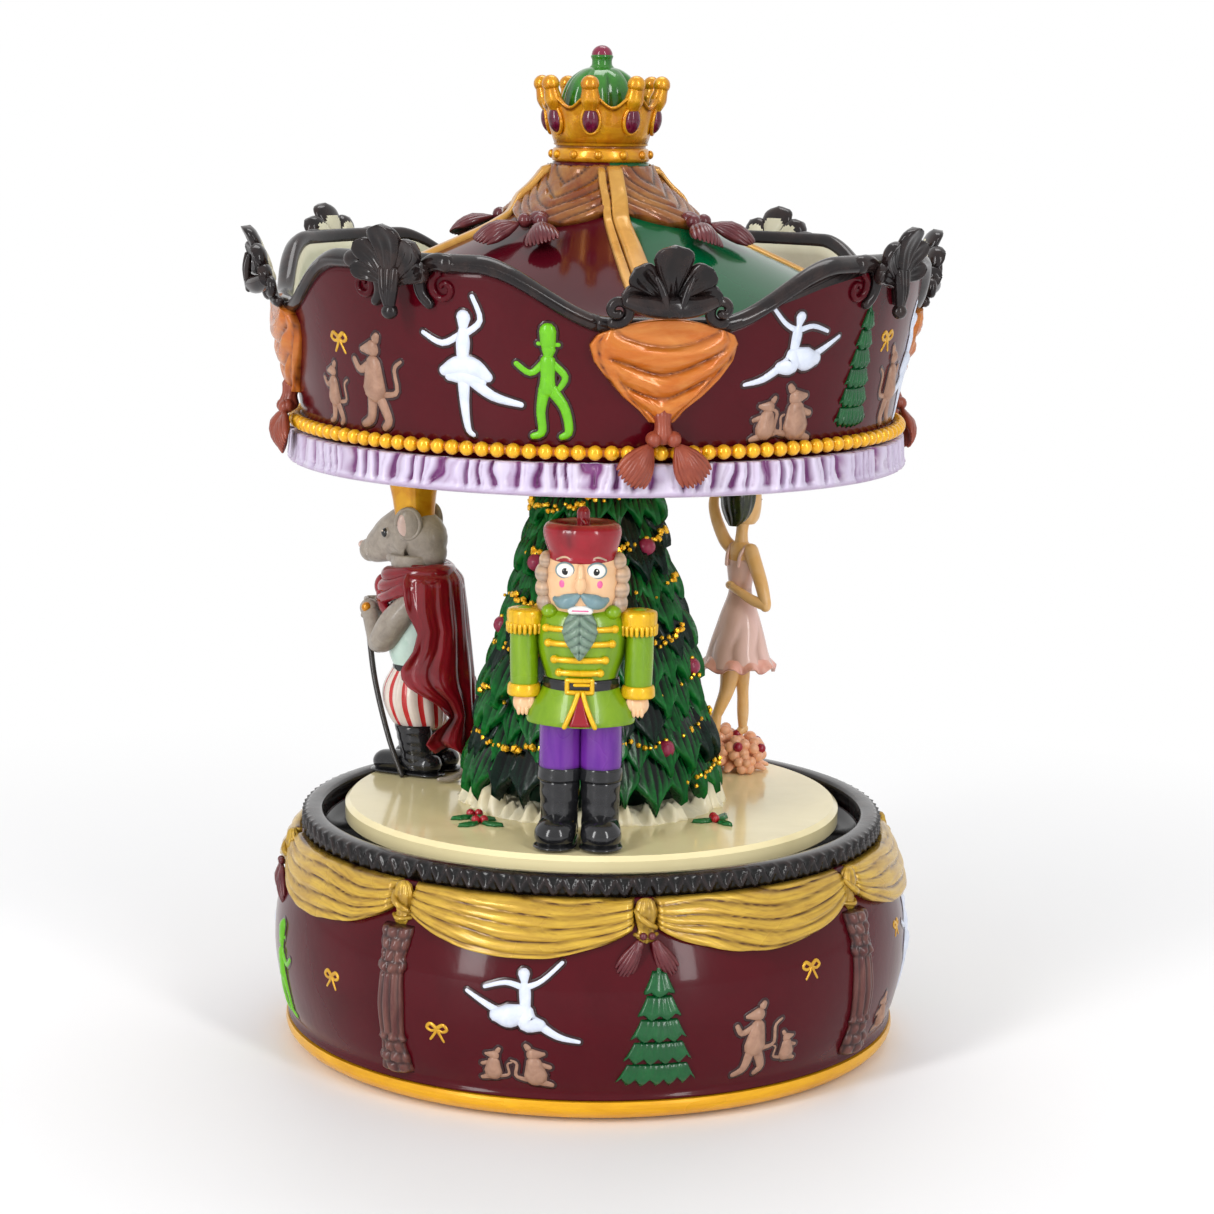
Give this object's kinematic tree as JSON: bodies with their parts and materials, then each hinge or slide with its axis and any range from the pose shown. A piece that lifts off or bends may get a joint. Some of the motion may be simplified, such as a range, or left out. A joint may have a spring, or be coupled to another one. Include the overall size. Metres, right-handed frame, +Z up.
{
  "type": "carousel music box",
  "caption": "Wind-up carousel music box: a round base with a music movement turns a platform with a fir tree, figures and a tented roof with a crown.",
  "frame": {"origin": "middle of the base's underside, on the carousel's turning axis", "axes": "+Z up along the turning axis; -Y towards the front, where the toy soldier stands; +X to the viewer's right"},
  "size_m": [0.153, 0.153, 0.216],
  "materials": {
    "wine_lacquer": "glossy dark maroon painted resin",
    "gold_paint": "satin gold",
    "dark_bronze": "dark antiqued bronze paint",
    "khaki_gold": "antiqued gold paint",
    "brown_paint": "painted resin",
    "tassel_paint": "painted resin",
    "black_plastic": "matt",
    "steel": "plated",
    "felt": "green felt",
    "brass": "turned",
    "nylon": "natural nylon",
    "comb_steel": "hardened and ground",
    "spring_steel": "blued",
    "cream_paint": "glossy cream",
    "snow_paint": "white resin",
    "holly_green": "painted resin",
    "tree_green": "painted resin",
    "gold_glitter": "gold glitter",
    "bauble_red": "glossy",
    "soldier_paint": "painted resin in several colours",
    "mouse_paint": "painted resin in several colours",
    "dancer_paint": "painted resin in several colours",
    "ceiling_paint": "cream",
    "frill_paint": "pale lilac resin",
    "bright_gold": "gold",
    "orange_bronze": "bronze paint",
    "tent_paint": "glossy maroon and green panels",
    "rib_gold": "antiqued gold",
    "crown_gold": "antiqued gold",
    "gem_red": "glossy",
    "cap_green": "glossy painted resin"
  },
  "bodies": {
    "base": {"base_shell": "wine_lacquer", "foot_band": "gold_paint", "rim_ring": "dark_bronze", "base_swags": "khaki_gold", "base_knots": "khaki_gold", "base_pilasters": "brown_paint", "base_tassels": "tassel_paint", "closing_plate": "black_plastic", "plate_screws": "steel", "felt_ring": "felt", "spindle_bush": "brass", "thrust_washer": "nylon", "bedplate": "steel", "bedplate_screws": "steel", "comb_block": "steel", "comb": "comb_steel", "comb_screws": "brass", "cylinder_brackets": "steel", "governor_frame": "brass"},
    "winding": {"winding_key": "steel", "winding_arbor": "steel", "ratchet_wheel": "steel"},
    "click": {"click": "brass"},
    "barrel": {"spring_barrel": "brass", "great_wheel": "brass", "mainspring": "spring_steel"},
    "cylinder": {"music_cylinder": "brass", "cylinder_arbor": "steel"},
    "governor": {"governor_wheel": "brass"},
    "fly": {"worm_and_fly": "nylon"},
    "carousel": {"spindle": "steel", "spindle_pinion": "brass", "drive_hub": "steel", "hub_screws": "steel", "platform": "cream_paint", "snow_mound": "snow_paint", "holly_sprigs": "holly_green", "post_sleeve": "brass", "tree": "tree_green", "tree_garland": "gold_glitter", "tree_baubles": "bauble_red", "soldier_figure": "soldier_paint", "mouse_figure": "mouse_paint", "dancer_figure": "dancer_paint", "roof_ceiling": "ceiling_paint", "roof_frill": "frill_paint", "bead_row": "bright_gold", "roof_valance": "wine_lacquer", "roof_moulding": "dark_bronze", "valley_crests": "dark_bronze", "hump_crests": "dark_bronze", "valance_drapes": "orange_bronze", "drape_tassels": "tassel_paint", "roof_tent": "tent_paint", "tent_ribs": "rib_gold", "tent_swags": "orange_bronze", "crown": "crown_gold", "crown_jewels": "gem_red", "crown_cap": "cap_green", "roof_nut": "steel"}
  },
  "joints": [
    {"name": "carousel_spin", "type": "hinge", "parent": "base", "child": "carousel", "pos_m": [0, 0, 0.045], "axis": [0, 0, 1], "continuous": true},
    {"name": "winding_key_turn", "type": "hinge", "parent": "base", "child": "winding", "pos_m": [-0.016, 0, 0.008], "axis": [0, 0, -1], "continuous": true},
    {"name": "click_pivot", "type": "hinge", "parent": "base", "child": "click", "pos_m": [-0.013, -0.0086, 0.014], "axis": [0, 0, 1], "range_deg": [0, 14]},
    {"name": "barrel_turn", "type": "hinge", "parent": "base", "child": "barrel", "pos_m": [-0.016, 0, 0.022], "axis": [0, 0, 1], "continuous": true},
    {"name": "cylinder_turn", "type": "hinge", "parent": "base", "child": "cylinder", "pos_m": [-0.016, 0.022, 0.0306], "axis": [0, 1, 0], "continuous": true},
    {"name": "governor_turn", "type": "hinge", "parent": "base", "child": "governor", "pos_m": [-0.0252, 0.034, 0.0306], "axis": [0, 1, 0], "continuous": true},
    {"name": "fly_turn", "type": "hinge", "parent": "base", "child": "fly", "pos_m": [-0.0313, 0.0352, 0.035], "axis": [0, 0, 1], "continuous": true}
  ],
  "couplings": [
    {"joint": "barrel_turn", "follows": "carousel_spin", "ratio": -0.33333},
    {"joint": "cylinder_turn", "follows": "carousel_spin", "ratio": -1.1111},
    {"joint": "governor_turn", "follows": "carousel_spin", "ratio": 4},
    {"joint": "fly_turn", "follows": "carousel_spin", "ratio": -96}
  ]
}
